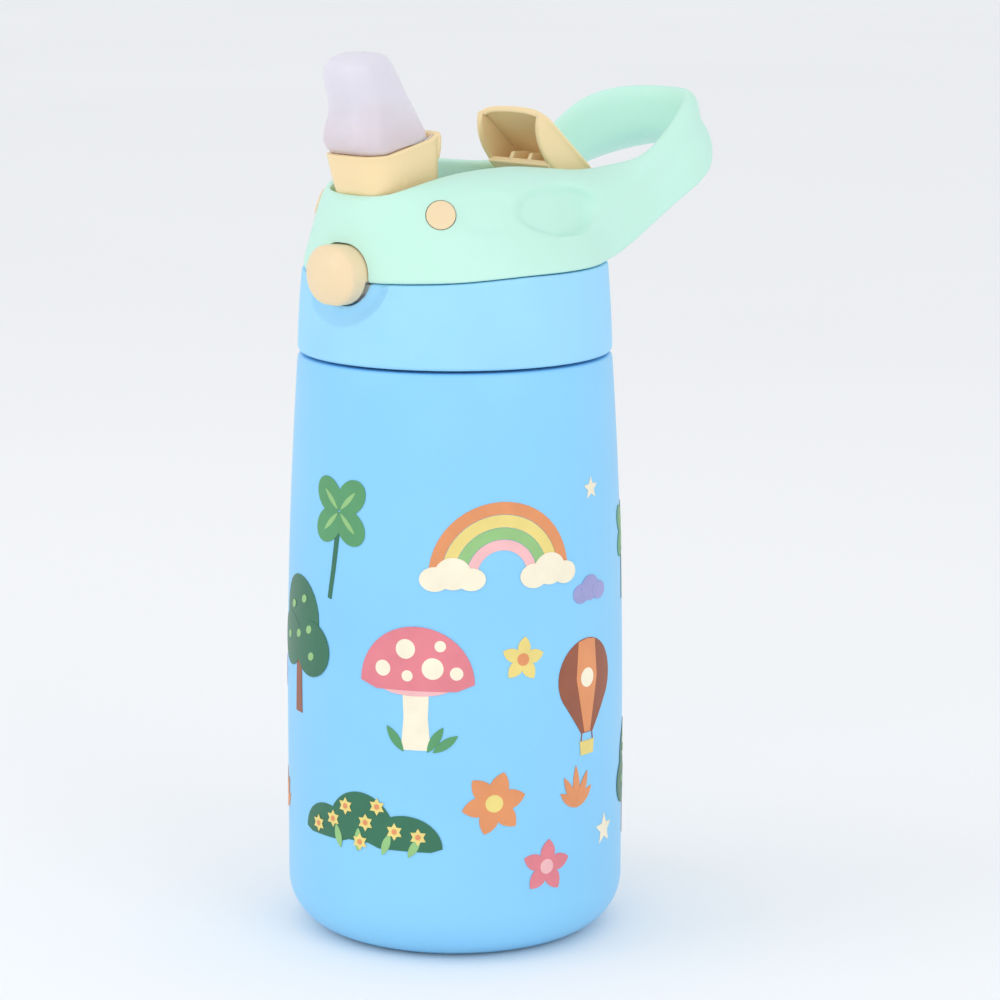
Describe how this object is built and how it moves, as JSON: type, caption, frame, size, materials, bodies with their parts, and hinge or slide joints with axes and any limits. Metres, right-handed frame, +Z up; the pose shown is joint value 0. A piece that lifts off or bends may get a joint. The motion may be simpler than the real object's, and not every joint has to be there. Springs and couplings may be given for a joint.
{
  "type": "kids water bottle",
  "caption": "Insulated kids drinking bottle with a screw lid, pop-up soft spout under a tip hood, push button, straw and rear carry loop.",
  "frame": {"origin": "centre of the base, on the bottle's axis", "axes": "+Z up along the bottle's axis, +Y towards the carry loop, -Y towards the push button"},
  "size_m": [0.073, 0.1038, 0.1909],
  "materials": {
    "blue_coat": "fine matt powder coat",
    "steel": "brushed",
    "light_blue_plastic": "fine matt",
    "mint_plastic": "fine matt",
    "cream_plastic": "satin gloss",
    "white_plastic": "natural, slightly translucent",
    "clear_silicone": "translucent",
    "lilac_silicone": "translucent, soft matt"
  },
  "bodies": {
    "bottle": {"outer_shell": "blue_coat", "inner_flask": "steel", "base_disc": "blue_coat", "getter_cap": "steel"},
    "seal": {"mouth_gasket": "clear_silicone"},
    "lid": {"collar": "light_blue_plastic", "lid_shell": "mint_plastic", "lid_core": "white_plastic", "vent_valve": "clear_silicone", "straw": "white_plastic", "kink_tube": "clear_silicone", "pivot_pins": "cream_plastic", "spout_spring": "steel", "hood_pin": "steel", "hood_spring": "steel", "button_springs": "steel"},
    "spout": {"spout_holder": "cream_plastic", "spout_nozzle": "lilac_silicone"},
    "hood": {"hood": "cream_plastic"},
    "button": {"button_cap": "cream_plastic", "latch_slide": "white_plastic"}
  },
  "joints": [
    {"name": "lid_rise", "type": "slide", "parent": "bottle", "child": "seal", "axis": [0, 0, 1], "range_m": [0, 0.00601]},
    {"name": "lid_turn", "type": "hinge", "parent": "seal", "child": "lid", "pos_m": [0, 0, 0.14], "axis": [0, 0, 1], "range_deg": [0, 540]},
    {"name": "spout_flip", "type": "hinge", "parent": "lid", "child": "spout", "pos_m": [0, -0.0215, 0.1583], "axis": [-1, 0, 0], "range_deg": [0, 98], "stiffness_Nm_per_rad": 0.002, "springref_deg": -28.65, "deforming": ["kink_tube", "spout_spring"]},
    {"name": "hood_flip", "type": "hinge", "parent": "lid", "child": "hood", "pos_m": [0, 0.0295, 0.162], "axis": [1, 0, 0], "range_deg": [0, 34], "deforming": ["hood_spring"]},
    {"name": "button_press", "type": "slide", "parent": "lid", "child": "button", "axis": [0, 1, 0], "range_m": [0, 0.0022], "stiffness_N_per_m": 400, "springref_m": -0.001, "deforming": ["button_springs"]}
  ],
  "couplings": [
    {"joint": "lid_rise", "follows": "lid_turn", "m_per_rad": 0.00063662},
    {"joint": "hood_flip", "follows": "spout_flip", "ratio": 0.3469}
  ]
}
